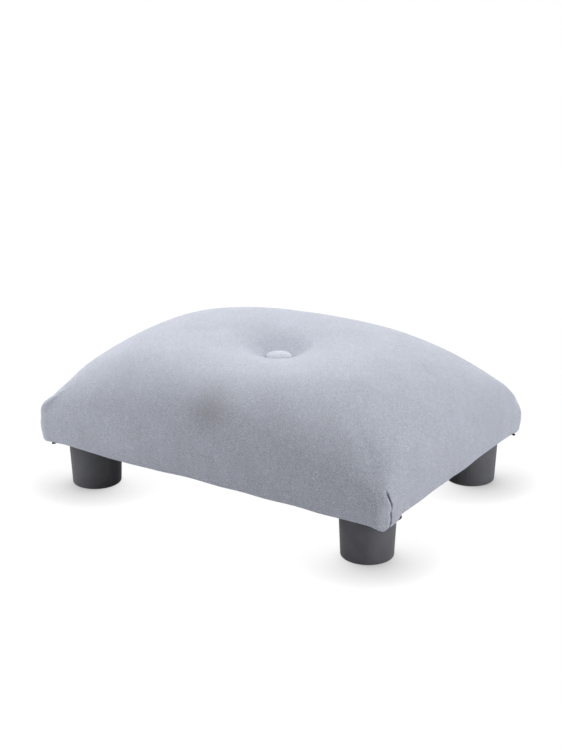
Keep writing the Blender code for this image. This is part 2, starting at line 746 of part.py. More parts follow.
def make_twine():
    bend_out = TWINE_SPREAD + TWINE_BEND
    bend_up = TWINE_LEVEL + TWINE_BEND
    left = arc((-bend_out, bend_up), TWINE_BEND, -1, 0, BEND_STEPS)
    over = arc((0, EYE_LEVEL), TWINE_SPREAD, 2, 0, 2 * BEND_STEPS)
    right = arc((bend_out, bend_up), TWINE_BEND, 2, 3, BEND_STEPS)
    end = bend_out + TWINE_TAIL
    route = [(-end, TWINE_LEVEL), *left, *over, *right, (end, TWINE_LEVEL)]
    places = [(0, BUTTON_OFF_CENTRE + across, level) for across, level in route]
    tube("tufting_twine", places, TWINE_DIAMETER, TWINE)


def make_stool():
    cover = make_cover()
    make_wadding()
    make_foam()
    board = make_board()
    dust_cover = make_dust_cover()
    make_leg_sets(board, dust_cover)
    low = BOARD_LOW - OVERRUN
    high = BOARD_TOP + OVERRUN
    channel = [(0, low), (CHANNEL_RADIUS, low), (CHANNEL_RADIUS, high), (0, high)]
    drill = turned("channel", channel, SMALL_ROUND_STEPS, CUTTER, BUTTON_CENTRE)
    combine(board, drill, "DIFFERENCE")
    crown_low = DUST_COVER_LOW - FIT_GAP - STAPLE_THICK
    make_staples("dust_staple", crown_low, dust_staple_places(), [board, dust_cover, cover])
    make_staples("twine_staple", TWINE_STAPLE_LOW, twine_staple_places(), [board])
    make_button()
    make_twine()


make_stool()
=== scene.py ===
"""A low upholstered footstool: a velvet pad with one covered button, on four moulded legs."""

import math

import bmesh
import bpy
import numpy as np
from mathutils import Matrix, Vector, noise


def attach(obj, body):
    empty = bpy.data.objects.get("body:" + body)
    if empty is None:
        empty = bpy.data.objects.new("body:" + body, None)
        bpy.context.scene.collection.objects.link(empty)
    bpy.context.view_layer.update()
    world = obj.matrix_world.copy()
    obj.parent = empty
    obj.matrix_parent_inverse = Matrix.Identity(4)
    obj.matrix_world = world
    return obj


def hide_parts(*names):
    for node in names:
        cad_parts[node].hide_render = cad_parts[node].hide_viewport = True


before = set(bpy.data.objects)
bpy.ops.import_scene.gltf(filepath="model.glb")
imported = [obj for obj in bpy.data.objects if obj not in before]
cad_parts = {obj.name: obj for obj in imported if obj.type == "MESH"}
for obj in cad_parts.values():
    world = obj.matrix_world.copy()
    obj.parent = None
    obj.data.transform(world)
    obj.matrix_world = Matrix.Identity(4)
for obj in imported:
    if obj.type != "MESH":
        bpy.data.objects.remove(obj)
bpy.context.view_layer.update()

# The view. The stool is photographed from beyond its front right corner, a little from above,
# with a long lens that keeps its sides nearly parallel.
camera_yaw = math.radians(123.0595)
camera_pitch = math.radians(-19.1315)
camera_roll = math.radians(-0.197)
look = Vector((math.cos(camera_yaw), math.sin(camera_yaw), 0)) * math.cos(camera_pitch)
look.z = math.sin(camera_pitch)
right = look.cross(Vector((0, 0, 1))).normalized()
upright = right.cross(look)
right, upright = (
    math.cos(camera_roll) * right + math.sin(camera_roll) * upright,
    math.cos(camera_roll) * upright - math.sin(camera_roll) * right,
)
camera_place = (0.7779, -1.1999, 0.6098)
camera_data = bpy.data.cameras.new("camera")
camera_data.sensor_width = 36
camera_data.lens = 71.69
camera = bpy.data.objects.new("camera", camera_data)
camera_turn = Matrix((right, upright, -look)).transposed().to_4x4()
camera.matrix_world = Matrix.Translation(camera_place) @ camera_turn
bpy.context.collection.objects.link(camera)
bpy.context.scene.camera = camera
bpy.context.scene.view_settings.view_transform = "Standard"


# The light. Broad soft boxes as in a product studio: two behind the stool, one overhead, one to
# its right and a small weak one at the front left, before white paper.
def add_soft_box(name, place, aim, size, power):
    """A square lamp at a place, facing a point, with one power in watts."""
    lamp = bpy.data.lights.new(name, "AREA")
    lamp.shape = "SQUARE"
    lamp.size = size
    lamp.energy = power
    holder = bpy.data.objects.new(name, lamp)
    facing = (Vector(aim) - Vector(place)).to_track_quat("-Z", "Y")
    holder.matrix_world = Matrix.Translation(place) @ facing.to_matrix().to_4x4()
    bpy.context.collection.objects.link(holder)


pad_middle = (0, 0, 0.1)
add_soft_box("back_box", (0.0, 1.0, 1.5), pad_middle, 1.3, 15.5)
add_soft_box("overhead_box", (0.0, 0.0, 1.9), pad_middle, 1.4, 10.2)
add_soft_box("right_box", (1.7, 0.0, 0.8), pad_middle, 1.3, 17.0)
add_soft_box("back_left_box", (-1.2, 1.1, 1.0), pad_middle, 1.3, 21.6)
add_soft_box("front_left_box", (-0.75, -0.55, 0.5), pad_middle, 0.6, 4.5)

world = bpy.data.worlds.new("studio")
world.use_nodes = True
bpy.context.scene.world = world
sky = world.node_tree
walls = sky.nodes["Background"]
walls.inputs["Color"].default_value = (1, 1, 1, 1)
walls.inputs["Strength"].default_value = 0


def wired(tree, kind, *values, operation=None):
    """A new node, its inputs in order wired to other nodes' outputs or set to plain values."""
    node = tree.nodes.new("ShaderNode" + kind)
    if operation is not None:
        node.operation = operation
    for socket, value in zip(node.inputs, values):
        if isinstance(value, bpy.types.NodeSocket):
            tree.links.new(value, socket)
        else:
            socket.default_value = value
    return node


def seen_or_mirrored(tree):
    """One for rays from the camera, a gloss or glass, nought for the light that falls on things."""
    path = tree.nodes.new("ShaderNodeLightPath")
    looks = (path.outputs["Is Camera Ray"], path.outputs["Is Glossy Ray"])
    both = wired(tree, "Math", *looks, operation="MAXIMUM")
    through = path.outputs["Is Transmission Ray"]
    return wired(tree, "Math", both.outputs[0], through, operation="MAXIMUM").outputs[0]


paper = wired(sky, "Background", (1, 1, 1, 1), 1.0)
sky_choice = wired(sky, "MixShader", seen_or_mirrored(sky), walls.outputs[0], paper.outputs[0])
sky.links.new(sky_choice.outputs[0], sky.nodes["World Output"].inputs["Surface"])


# The floor. White paper, so pale that only the soft dark rings round the four feet show on it. The rings
# are painted shadow: the paper's glow is dimmed where the legs close in round a point.
def made_of(name, bm):
    """An object made of a bmesh, which is used up."""
    mesh = bpy.data.meshes.new(name)
    bm.to_mesh(mesh)
    bm.free()
    thing = bpy.data.objects.new(name, mesh)
    bpy.context.collection.objects.link(thing)
    return thing


floor_radius = 6
floor_gap = 0.0001
ring_reach = 0.047
ring_softness = 0.70
paper_white = 1.02
paper_share = 0.98
floor_mesh = bmesh.new()
bmesh.ops.create_circle(floor_mesh, cap_ends=True, segments=64, radius=floor_radius)
bmesh.ops.translate(floor_mesh, verts=floor_mesh.verts, vec=(0, 0, -floor_gap))
floor = made_of("floor", floor_mesh)
floor_paper = bpy.data.materials.new("floor_paper")
floor_paper.use_nodes = True
floor_tree = floor_paper.node_tree
floor_tree.nodes.remove(floor_tree.nodes["Principled BSDF"])
matt = wired(floor_tree, "BsdfDiffuse", (0.86, 0.86, 0.87, 1))
near_feet = floor_tree.nodes.new("ShaderNodeAmbientOcclusion")
near_feet.samples = 16
near_feet.inputs["Distance"].default_value = ring_reach
# The painted shadow rings are reckoned as if the light came from a point behind and above, so they reach
# forwards
ring_light = (-0.25, 0.30, 0.20)
floor_point = floor_tree.nodes.new("ShaderNodeNewGeometry").outputs["Position"]
to_light = wired(floor_tree, "VectorMath", ring_light, floor_point, operation="SUBTRACT")
light_way = wired(floor_tree, "VectorMath", to_light.outputs["Vector"], operation="NORMALIZE")
floor_tree.links.new(light_way.outputs["Vector"], near_feet.inputs["Normal"])
painted_ring_shadow = wired(floor_tree, "Math", near_feet.outputs["AO"], ring_softness, operation="POWER")
# The paper glows white to the camera, dimmed by the painted shadow rings round the feet
bright = wired(floor_tree, "Emission", painted_ring_shadow.outputs[0], paper_white)
paper_mix = wired(floor_tree, "MixShader", paper_share, matt.outputs[0], bright.outputs[0])
floor_choice = wired(
    floor_tree, "MixShader", seen_or_mirrored(floor_tree), matt.outputs[0], paper_mix.outputs[0]
)
floor_tree.links.new(floor_choice.outputs[0], floor_tree.nodes["Material Output"].inputs["Surface"])
floor.data.materials.append(floor_paper)


# The board. Raw medium-density fibreboard, 16 mm, sawn to a rounded rectangle and drilled. It
# carries everything else, and is wrapped all round by the cover.
def new_finish(name, roughness, metallic=0.0, shine=0.5):
    """A material with one roughness and one shine all over, ready for its grain."""
    finish = bpy.data.materials.new(name)
    finish.use_nodes = True
    shader = finish.node_tree.nodes["Principled BSDF"]
    shader.inputs["Roughness"].default_value = roughness
    shader.inputs["Metallic"].default_value = metallic
    shader.inputs["Specular IOR Level"].default_value = shine
    return finish


def grain(finish, spot, detail=4.0, stretch=(1, 1, 1)):
    """A cloudy pattern fixed to the piece, its spots about so many metres wide."""
    tree = finish.node_tree
    place = tree.nodes.new("ShaderNodeTexCoord")
    turn = wired(tree, "Mapping", place.outputs["Object"])
    turn.inputs["Scale"].default_value = stretch
    cloud = wired(tree, "TexNoise", turn.outputs["Vector"])
    cloud.inputs["Scale"].default_value = 1 / spot
    cloud.inputs["Detail"].default_value = detail
    return cloud.outputs["Fac"]


def two_tones(finish, pattern, dark, light, low=0.35, high=0.65):
    """Colour that runs between two near tones with a pattern."""
    ramp = wired(finish.node_tree, "ValToRGB", pattern)
    ramp.color_ramp.elements[0].position = low
    ramp.color_ramp.elements[0].color = (*dark, 1)
    ramp.color_ramp.elements[1].position = high
    ramp.color_ramp.elements[1].color = (*light, 1)
    return ramp.outputs["Color"]


def paint(finish, colour):
    """Use a colour pattern as the finish's own colour."""
    shader = finish.node_tree.nodes["Principled BSDF"]
    finish.node_tree.links.new(colour, shader.inputs["Base Color"])


def emboss(finish, pattern, depth):
    """Raise the surface by a pattern, on top of what is raised already."""
    tree = finish.node_tree
    shader = tree.nodes["Principled BSDF"]
    relief = tree.nodes.new("ShaderNodeBump")
    relief.inputs["Distance"].default_value = depth
    if shader.inputs["Normal"].is_linked:
        tree.links.new(shader.inputs["Normal"].links[0].from_socket, relief.inputs["Normal"])
    tree.links.new(pattern, relief.inputs["Height"])
    tree.links.new(relief.outputs["Normal"], shader.inputs["Normal"])


def dress_node(node, finish):
    """Give a CAD node that is right as it is its real finish."""
    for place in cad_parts[node].material_slots:
        place.material = finish


fibreboard = new_finish("raw_fibreboard", roughness=0.82)
board_fibres = grain(fibreboard, spot=0.0012, detail=6, stretch=(1, 1, 4))
paint(fibreboard, two_tones(fibreboard, board_fibres, (0.30, 0.19, 0.10), (0.50, 0.35, 0.20)))
emboss(fibreboard, board_fibres, depth=0.0002)
dress_node("base_board", fibreboard)


# The pad's form. One set of rings describes the drawn cover from its turned-under edge up to
# the button, and the foam and the wadding are the same form a few millimetres smaller.
half_length = 0.200
half_depth = 0.150
plan_corner = 0.012
leg_height = 0.050
flap_level = 0.0514
hem_roll = 0.006
hem_set_in = 0.001
button_y = -0.009
pocket_edge = 0.0156
pocket_floor = 0.13356
twine_hole = 0.0039
shoulder_in = 0.0164
# How the stuffing stands: the corners' height above the legs, the arch along the stool, the one
# across it and the crown on both, each with the powers that shape its fall to the sides
corner_rise = 0.0238
long_rise, long_fall = 0.03144, 1.544
cross_rise, cross_fall = 0.04102, 0.4
crown_rise, crown_fall = 0.02941, 0.883
crown_flat_along, crown_flat_across = 6.07, 2.73
# What the button pulls down: a wide hollow, and a narrow pucker in its middle
hollow_depth, hollow_reach, hollow_edge = 0.02738, 0.09527, 2.319
pucker_depth, pucker_width = 0.01253, 0.02973


def pad_height(x, y):
    """Height of the stuffed pad: two arches, a crown, the button's hollow and its pucker."""
    corner_cut = plan_corner * (1 - math.sqrt(0.5))
    along = np.minimum(np.abs(x) / (half_length - corner_cut), 1)
    across = np.minimum(np.abs(y) / (half_depth - corner_cut), 1)
    away = np.hypot(x, y - button_y)
    arches = long_rise * (1 - along**2) ** long_fall + cross_rise * (1 - across**2) ** cross_fall
    flats = (1 - along**crown_flat_along) * (1 - across**crown_flat_across)
    crown = crown_rise * flats**crown_fall
    hollow = hollow_depth * np.exp(-((away / hollow_reach) ** hollow_edge))
    pucker = pucker_depth * np.exp(-((away / pucker_width) ** 2))
    return leg_height + corner_rise + arches + crown - hollow - pucker


# Perimeter distances of the four corners' middles, from the middle of the right-hand end and
# anticlockwise: back right, back left, front left, front right.
straight_x = half_length - plan_corner
straight_y = half_depth - plan_corner
corner_arc = plan_corner * math.pi / 2
perimeter = 4 * (straight_x + straight_y + corner_arc)
corner_places = (
    straight_y + corner_arc / 2,
    straight_y + corner_arc * 1.5 + 2 * straight_x,
    perimeter / 2 + straight_y + corner_arc / 2,
    perimeter / 2 + straight_y + corner_arc * 1.5 + 2 * straight_x,
)
# The folded cloth at each corner: its distance from the corner's middle, how far it spreads,
# and how close together the form's columns are there
pleat_places = (-0.0105, 0.0105, -0.0100, 0.0140)
pleat_spreads = (0.0075, 0.0075, 0.0075, 0.0090)
pleat_columns = (0.0010, 0.0007, 0.0006, 0.0004)
# Where the hem steps up beside the front right corner's pleat
hem_step_place = 0.0335
# How round the shoulder is at each corner, in plan
shoulder_corners = (0.009, 0.009, 0.004, 0.009)
# How the stuffing fills or leaves each corner: out by, where along, reach, height, reach up
corner_fillings = (
    (
        (0.0006, 0, 0.011, 0.057, 0.010),
        (-0.0042, 0, 0.014, 0.096, 0.016),
        (-0.0021, -0.003, 0.012, 0.084, 0.013),
        (-0.0008, -0.033, 0.007, 0.086, 0.014),
    ),
    ((0.0012, 0, 0.011, 0.068, 0.020),),
    (
        (0.0004, 0, 0.011, 0.070, 0.018),
        (0.0052, 0, 0.010, 0.090, 0.009),
        (0.0010, 0, 0.010, 0.082, 0.006),
        (0.0006, 0, 0.010, 0.054, 0.007),
        (-0.0020, -0.034, 0.014, 0.107, 0.010),
    ),
    (
        (-0.0022, -0.003, 0.016, 0.108, 0.020),
        (0.0028, 0.020, 0.011, 0.050, 0.010),
    ),
)
# How close together the form's columns are on the sides, round the corners and at the hem's step
side_column = 0.0062
corner_column = 0.0020
corner_width = 0.026
hem_step_column = 0.0007
hem_step_width = 0.005


def spread_columns(count):
    """Perimeter distances of the form's columns, close together at the corner pleats."""
    fine = np.linspace(0, perimeter, 20001)
    density = np.full(len(fine), 1 / side_column)
    for corner, pleat, spread, step in zip(corner_places, pleat_places, pleat_spreads, pleat_columns):
        density[np.abs(fine - corner) < corner_width] = 1 / corner_column
        density[np.abs(fine - corner - pleat) < spread] = 1 / step
    step_place = corner_places[3] + hem_step_place
    density[np.abs(fine - step_place) < hem_step_width] = 1 / hem_step_column
    total = np.concatenate([[0], np.cumsum((density[1:] + density[:-1]) / 2)])
    return np.interp(np.arange(count) / count * total[-1], total, fine)


def hump(value, width):
    """A smooth hump, one high and about twice so wide."""
    return np.exp(-((value / width) ** 2))


def fade(value, start, end):
    """From nought at the start to one at the end, smoothly."""
    share = np.clip((value - start) / (end - start), 0, 1)
    return share * share * (3 - 2 * share)


def away_from(distances, corner):
    """Signed distance round the perimeter from a corner's middle."""
    return (distances - corner_places[corner] + perimeter / 2) % perimeter - perimeter / 2


def plan_of(distances):
    """For each column, where it starts on the straight-sided core, and which way is out."""
    core = np.zeros((len(distances), 2))
    out = np.zeros((len(distances), 2))
    for column, distance in enumerate(distances):
        half_turn = distance >= perimeter / 2
        d = distance - perimeter / 2 if half_turn else distance
        if d < straight_y:
            c, n = (1, d / straight_y), (1, 0)
        elif d < straight_y + corner_arc:
            turn = (d - straight_y) / plan_corner
            c, n = (1, 1), (math.cos(turn), math.sin(turn))
        elif d < straight_y + corner_arc + 2 * straight_x:
            c, n = (1 - (d - straight_y - corner_arc) / straight_x, 1), (0, 1)
        elif d < straight_y + 2 * corner_arc + 2 * straight_x:
            turn = math.pi / 2 + (d - straight_y - corner_arc - 2 * straight_x) / plan_corner
            c, n = (-1, 1), (math.cos(turn), math.sin(turn))
        else:
            c, n = (-1, (perimeter / 2 - d) / straight_y), (-1, 0)
        side = -1 if half_turn else 1
        core[column] = np.array(c) * side
        out[column] = np.array(n) * side
    return core, out


def curve_between(start, start_handle, end_handle, end, steps):
    """Points along a smooth curve, its start left out, from arrays of (inset, height)."""
    t = (np.arange(1, steps + 1) / steps)[:, None, None]
    return (
        (1 - t) ** 3 * start
        + 3 * (1 - t) ** 2 * t * start_handle
        + 3 * (1 - t) * t**2 * end_handle
        + t**3 * end
    )


flap_width = 0.032
flap_corner = 0.004
sharpest_corner = 0.001
# How far the sides swell past the hem, and where their curve bends, as shares of its height,
# along the sides and how much less of it at the corners
side_swell = 0.0039
low_bend, low_bend_less = 0.67, 0.07
high_bend, high_bend_less = 0.30, 0.20
# How much lower the button pulls the cloth on the whole, towards its front and at its two sides
pull_down, pull_front, pull_sides = 0.0019, 0.0006, 0.0010
pull_reach = 0.036
front_turn = 0.99
# How far from each corner its shoulder's roundness and its sides' bend reach
shoulder_reach, bend_reach = 0.07, 0.03
slope_step = 0.001
roll_steps = 8
# How much closer together the dome's rings are towards the button
ring_crowding = 0.45
seat_ring = 0.0085


def pad_form(distances, side_steps=34, dome_steps=46):
    """The pad's outer face as rings of points, from the flap's edge to the twine's hole."""
    core, out = plan_of(distances)
    count = len(distances)
    shoulder_corner = np.full(count, sharpest_corner)
    for corner, radius in enumerate(shoulder_corners):
        near_corner = hump(away_from(distances, corner), shoulder_reach)
        shoulder_corner += (radius - sharpest_corner) * near_corner

    def plan(inset, corner):
        half = np.array((half_length, half_depth)) - inset - corner
        return core * half + out * corner

    def plan_in(inset):
        corner = np.maximum(plan_corner - inset, shoulder_corner)[:, None]
        half = np.array((half_length, half_depth)) - inset[:, None] - corner
        return core * half + out * corner

    rings = []
    for share in (0, 0.25, 0.5, 0.75, 0.9):
        hem_plan = plan(hem_set_in + hem_roll, plan_corner - hem_set_in - hem_roll)
        flap_plan = plan(flap_width, flap_corner) * (1 - share) + hem_plan * share
        rings.append(np.column_stack([flap_plan, np.full(count, flap_level)]))
    for step in range(roll_steps + 1):
        turn = math.pi / 2 * step / roll_steps
        inset = hem_set_in + hem_roll * (1 - math.sin(turn))
        level = flap_level + hem_roll * (1 - math.cos(turn))
        rings.append(np.column_stack([plan(inset, plan_corner - inset), np.full(count, level)]))
    shoulder = np.full(count, shoulder_in)
    at_shoulder = plan_in(shoulder)
    level = pad_height(*at_shoulder.T)
    beyond = plan_in(shoulder + slope_step)
    slope = (pad_height(*beyond.T) - level) / slope_step
    edge_level = level - shoulder_in * slope
    side_foot = np.column_stack([np.full(count, hem_set_in), np.full(count, flap_level + hem_roll)])
    corner_share = sum(hump(away_from(distances, corner), bend_reach) for corner in range(4))
    low_share = low_bend - low_bend_less * corner_share
    high_share = high_bend - high_bend_less * corner_share
    low_level = side_foot[:, 1] * (1 - low_share) + edge_level * low_share
    high_level = edge_level + (level - edge_level) * high_share
    lower = np.column_stack([np.full(count, -side_swell), low_level])
    upper = np.column_stack([shoulder * high_share, high_level])
    top = np.column_stack([shoulder, level])
    for inset, height in np.moveaxis(curve_between(side_foot, lower, upper, top, side_steps), 2, 1):
        rings.append(np.column_stack([plan_in(inset), height]))
    angles = np.arctan2(at_shoulder[:, 1] - button_y, at_shoulder[:, 0])
    towards = np.column_stack([np.cos(angles), np.sin(angles)])
    pocket = towards * pocket_edge + (0, button_y)
    for step in range(1, dome_steps + 1):
        share = 1 - step / dome_steps
        share = (1 - ring_crowding) * share + ring_crowding * share**2
        ring = pocket + (at_shoulder - pocket) * share
        rings.append(np.column_stack([ring, pad_height(*ring.T)]))
    rim = float(pad_height(*pocket.T).mean())
    rings[-1][:, 2] = rim
    rim_roll = (
        (pocket_edge, rim),
        (pocket_edge - 0.0007, rim - 0.0003),
        (pocket_edge - 0.0013, rim - 0.0006),
        (pocket_edge - 0.0014, rim - 0.0018),
        (pocket_edge - 0.0014, pocket_floor + 0.0016),
        (pocket_edge - 0.0016, pocket_floor + 0.0005),
        (pocket_edge - 0.0028, pocket_floor),
    )
    for radius, height in rim_roll[1:]:
        ring = towards * radius + (0, button_y)
        rings.append(np.column_stack([ring, np.full(count, height)]))
    for radius in (seat_ring, twine_hole):
        ring = towards * radius + (0, button_y)
        rings.append(np.column_stack([ring, np.full(count, pocket_floor)]))
    rings = np.array(rings)
    front = angles + front_turn
    side_pull = pull_down + pull_front * np.cos(front) - pull_sides * np.cos(2 * front)
    from_middle = np.hypot(rings[:, :, 0], rings[:, :, 1] - button_y)
    pulled = 1 - fade(from_middle, pocket_edge, pull_reach)
    pulled *= np.clip((rings[:, :, 2] - pocket_floor) / (rim - pocket_floor), 0, 1)
    rings[:, :, 2] -= side_pull * pulled * (rings[:, :, 2] > pocket_floor)
    for corner, fillings in enumerate(corner_fillings):
        away = away_from(distances, corner)
        for push, along, reach, middle, up in fillings:
            filled = push * hump(away - along, reach) * hump(rings[:, :, 2] - middle, up)
            rings[:, :, :2] += out * filled[:, :, None]
    return rings


def outward(rings):
    """Unit directions straight out of the form at each point."""
    along = np.gradient(rings, axis=0)
    round_about = np.roll(rings, -1, axis=1) - np.roll(rings, 1, axis=1)
    out = np.cross(round_about, along)
    out /= np.linalg.norm(out, axis=2, keepdims=True)
    out[:4] = (0, 0, -1)
    out[-2:] = (0, 0, 1)
    return out


def wrapped_grid(bm, rings, fold_shade=None):
    """A grid of faces wrapped round the rings' points, joined into a tube, with each point's share of
    painted crease shade when given.
    """
    if fold_shade is not None:
        fold_shade_layer = bm.verts.layers.float.new("painted_fold_shade")
    rows, columns = rings.shape[:2]
    grid = bmesh.ops.create_grid(bm, x_segments=columns, y_segments=rows - 1, size=1)
    for vert in grid["verts"]:
        column = round((vert.co.x + 1) / 2 * columns) % columns
        row = round((vert.co.y + 1) / 2 * (rows - 1))
        vert.co = rings[row, column]
        if fold_shade is not None:
            vert[fold_shade_layer] = fold_shade[row, column]
    seam = [v for v in grid["verts"] if v.is_boundary]
    bmesh.ops.remove_doubles(bm, verts=seam, dist=1e-7)


lower_edges_below = pocket_floor - 0.04


def closed_layer(name, outer, inner, fold_shade=None):
    """A layer of cloth, fibre or foam between an outer and an inner run of rings, its outer face carrying
    painted crease shade when given.
    """
    bm = bmesh.new()
    wrapped_grid(bm, outer, fold_shade)
    wrapped_grid(bm, inner)
    open_edges = [edge for edge in bm.edges if edge.is_boundary]
    low_edges = [edge for edge in open_edges if edge.verts[0].co.z < lower_edges_below]
    high_edges = [edge for edge in open_edges if edge not in low_edges]
    for loops in (low_edges, high_edges):
        bmesh.ops.bridge_loops(bm, edges=loops)
    return finish_piece(name, bm)


def finish_piece(name, bm, crease_angle=50):
    """Turn a bmesh into a piece of the stool that rides on its frame."""
    bmesh.ops.recalc_face_normals(bm, faces=bm.faces)
    piece = made_of(name, bm)
    piece.data.shade_smooth()
    piece.data.set_sharp_from_angle(angle=math.radians(crease_angle))
    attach(piece, "root")
    return piece


# The foam. A block of cream upholstery foam, glued to the board, cut square and pulled into its
# dome by the cover. The twine runs down through its middle.
cover_thick = 0.0012
fit_gap = 0.0003
wadding_thick = 0.005
pressed_thick = 0.001
foam_level = 0.0692
foam_edge = 0.002
# The rings at which the foam and the wadding start, and how many of the last are thin or thinning
foam_start, wadding_start = 17, 13
thinning_rings, pressed_rings = 16, 9
# Where on the pad's top the shrinking turns from straight inwards to square
square_from, square_to = 0.06, 0.09
soft_columns = spread_columns(220)
soft_rings = pad_form(soft_columns, side_steps=14, dome_steps=26)
soft_outward = outward(soft_rings)
soft_rows = len(soft_rings)
wadding_depths = np.full(soft_rows, wadding_thick)
wadding_depths[-thinning_rings:] = np.linspace(wadding_thick, pressed_thick, thinning_rings)
wadding_depths[-pressed_rings:] = pressed_thick
# The room that foam and wadding leave for the cover's corner pleats, and where upwards it ends
pleat_room, pleat_width = 0.0042, 0.007
pleat_room_ends = (0.086, 0.104)
fold_room = np.zeros(soft_rings.shape[:2])
for corner, pleat in enumerate(pleat_places):
    at_fold = hump(away_from(soft_columns, corner) - pleat, pleat_width)
    fold_room += pleat_room * at_fold * (1 - fade(soft_rings[:, :, 2], *pleat_room_ends))


def lowered(depths, rows):
    """The pad's form moved inwards, by one depth for each ring, from a given ring on."""
    inwards = -soft_outward * (np.reshape(depths, (-1, 1)) + fold_room)[:, :, None]
    # Away from the button the rings shrink square, so that the tight corners don't cross over
    square = inwards.copy()
    level = np.hypot(inwards[:, :, 0], inwards[:, :, 1])[:, :, None]
    square[:, :, :2] = -soft_rings[:, :, :2] / (half_length, half_depth) * level
    from_middle = np.hypot(soft_rings[:, :, 0], soft_rings[:, :, 1] - button_y)
    far_share = fade(from_middle, square_from, square_to)
    layer = soft_rings + inwards + (square - inwards) * far_share[:, :, None]
    layer[-1, :, :2] = soft_rings[-1, :, :2]
    return layer[rows:]


foam_top = lowered(cover_thick + 2 * fit_gap + wadding_depths, foam_start)
foam_top[0][:, 2] = np.maximum(foam_top[0][:, 2], foam_level + foam_edge)
foam_foot = np.column_stack([foam_top[0][:, :2], np.full(foam_top.shape[1], foam_level)])
hole_foot = np.column_stack([foam_top[-1][:, :2], np.full(foam_top.shape[1], foam_level)])
foam_outer = np.concatenate([foam_foot[None], foam_top])
foam_piece_mesh = bmesh.new()
wrapped_grid(foam_piece_mesh, foam_outer)
wrapped_grid(foam_piece_mesh, np.array([foam_foot, hole_foot]))
bmesh.ops.remove_doubles(foam_piece_mesh, verts=foam_piece_mesh.verts, dist=1e-6)
hole_edges = [edge for edge in foam_piece_mesh.edges if edge.is_boundary]
bmesh.ops.bridge_loops(foam_piece_mesh, edges=hole_edges)
foam = finish_piece("foam", foam_piece_mesh)
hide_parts("foam_block")
cut_foam = new_finish("cut_foam", roughness=0.95)
foam_cells = grain(cut_foam, spot=0.0009, detail=3)
paint(cut_foam, two_tones(cut_foam, foam_cells, (0.62, 0.55, 0.36), (0.84, 0.78, 0.60)))
emboss(cut_foam, foam_cells, depth=0.0004)
foam.data.materials.append(cut_foam)

# The wadding. A sheet of bonded polyester fibre laid over the foam and down the board's edge,
# which rounds the foam's cut edges. It is pressed thin under the button.
wadding = closed_layer(
    "wadding_layer",
    lowered(np.full(soft_rows, cover_thick + fit_gap), wadding_start),
    lowered(cover_thick + fit_gap + wadding_depths, wadding_start),
)
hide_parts("wadding")
fibre_wadding = new_finish("fibre_wadding", roughness=0.95)
wadding_fibres = grain(fibre_wadding, spot=0.002, detail=8, stretch=(1, 0.3, 1))
wadding_white = two_tones(fibre_wadding, wadding_fibres, (0.72, 0.72, 0.70), (0.88, 0.88, 0.87))
paint(fibre_wadding, wadding_white)
emboss(fibre_wadding, wadding_fibres, depth=0.0012)
wadding.data.materials.append(fibre_wadding)

# The cover. One panel of pale blue-grey velvet, drawn down over the pad, folded into a pleat at
# each corner, turned under the board and stapled there.
cover_columns = spread_columns(416)
cover_rings = pad_form(cover_columns)
cover_outward = outward(cover_rings)
cover_rows = len(cover_rings)
heights = cover_rings[:, :, 2]
along_hem = np.broadcast_to(cover_columns, heights.shape)
from_button = np.hypot(cover_rings[:, :, 0], cover_rings[:, :, 1] - button_y)
round_button = np.arctan2(cover_rings[:, :, 1] - button_y, cover_rings[:, :, 0])


def softness(spot, seed):
    """Soft unevenness of the stuffing, between about minus one and one."""
    flat = cover_rings.reshape(-1, 3) / spot + seed
    return np.array([noise.noise(point) for point in flat]).reshape(heights.shape)


broad_lumps, fine_lumps = 0.0007, 0.00022
rise = broad_lumps * softness(0.075, seed=3.0) + fine_lumps * softness(0.028, seed=11.0)
even_round_button = (0.018, 0.040)
rise *= fade(from_button, *even_round_button)
# Where the stuffing stands fuller or flatter than elsewhere: middle, reach, out by
swellings = (
    ((-0.172, -0.045, 0.130), 0.060, -0.0016),
    ((0.150, -0.128, 0.112), 0.044, 0.0030),
    ((0.199, -0.070, 0.068), 0.022, 0.0012),
    ((0.200, 0.100, 0.058), 0.018, 0.0009),
    ((-0.075, -0.150, 0.068), 0.030, 0.0007),
)
for middle, reach, out in swellings:
    rise += out * hump(np.linalg.norm(cover_rings - middle, axis=2), reach)
slide = np.zeros_like(cover_rings)
# The pleats by corner: crease line as (height, distance from the corner's middle), lip, depth and
# lap. The back right corner's lies so flat that it shows no crease
corner_folds = {
    1: (((0.046, 0.0105), (0.060, 0.0130), (0.070, 0.0135), (0.090, 0.0070)), 0.0010, 0.0026, 0.0014),
    2: (((0.046, -0.0105), (0.060, -0.0120), (0.072, -0.0125), (0.088, -0.0080)), 0.0004, 0.0012, 0.0006),
    3: (
        (
            (0.0510, 0.0090),
            (0.0550, 0.0115),
            (0.0593, 0.0126),
            (0.0640, 0.0104),
            (0.0670, 0.0130),
            (0.0759, 0.0088),
            (0.0830, 0.0068),
        ),
        0.0012,
        0.0036,
        0.0016,
    ),
}
# How much lower than elsewhere the hem hangs, by distance from the corner's middle
hem_drops = (
    ((-0.050, 0), (-0.026, 0.0010), (-0.016, 0.0012), (-0.010, 0.0022), (0, 0.0020), (0.016, 0)),
    ((-0.014, 0), (0, 0.0010), (0.014, 0)),
    ((-0.020, 0), (-0.010, 0.0016), (0, 0.0002), (0.008, -0.0010), (0.030, -0.0020), (0.060, 0)),
    (
        (-0.012, 0),
        (-0.006, 0.0011),
        (0, 0.0032),
        (0.008, 0.0030),
        (0.014, 0.0028),
        (0.028, 0.0030),
        (0.0325, 0.0027),
        (0.0345, 0.0004),
        (0.045, 0.0006),
        (0.060, 0),
    ),
)
groove_width = 0.0011
lip_place, lip_width = 0.0040, 0.0032
fully_shaded_groove = 0.003
crease_ends_before, crease_ends_after = 0.006, 0.002
drop_blur = 0.0007
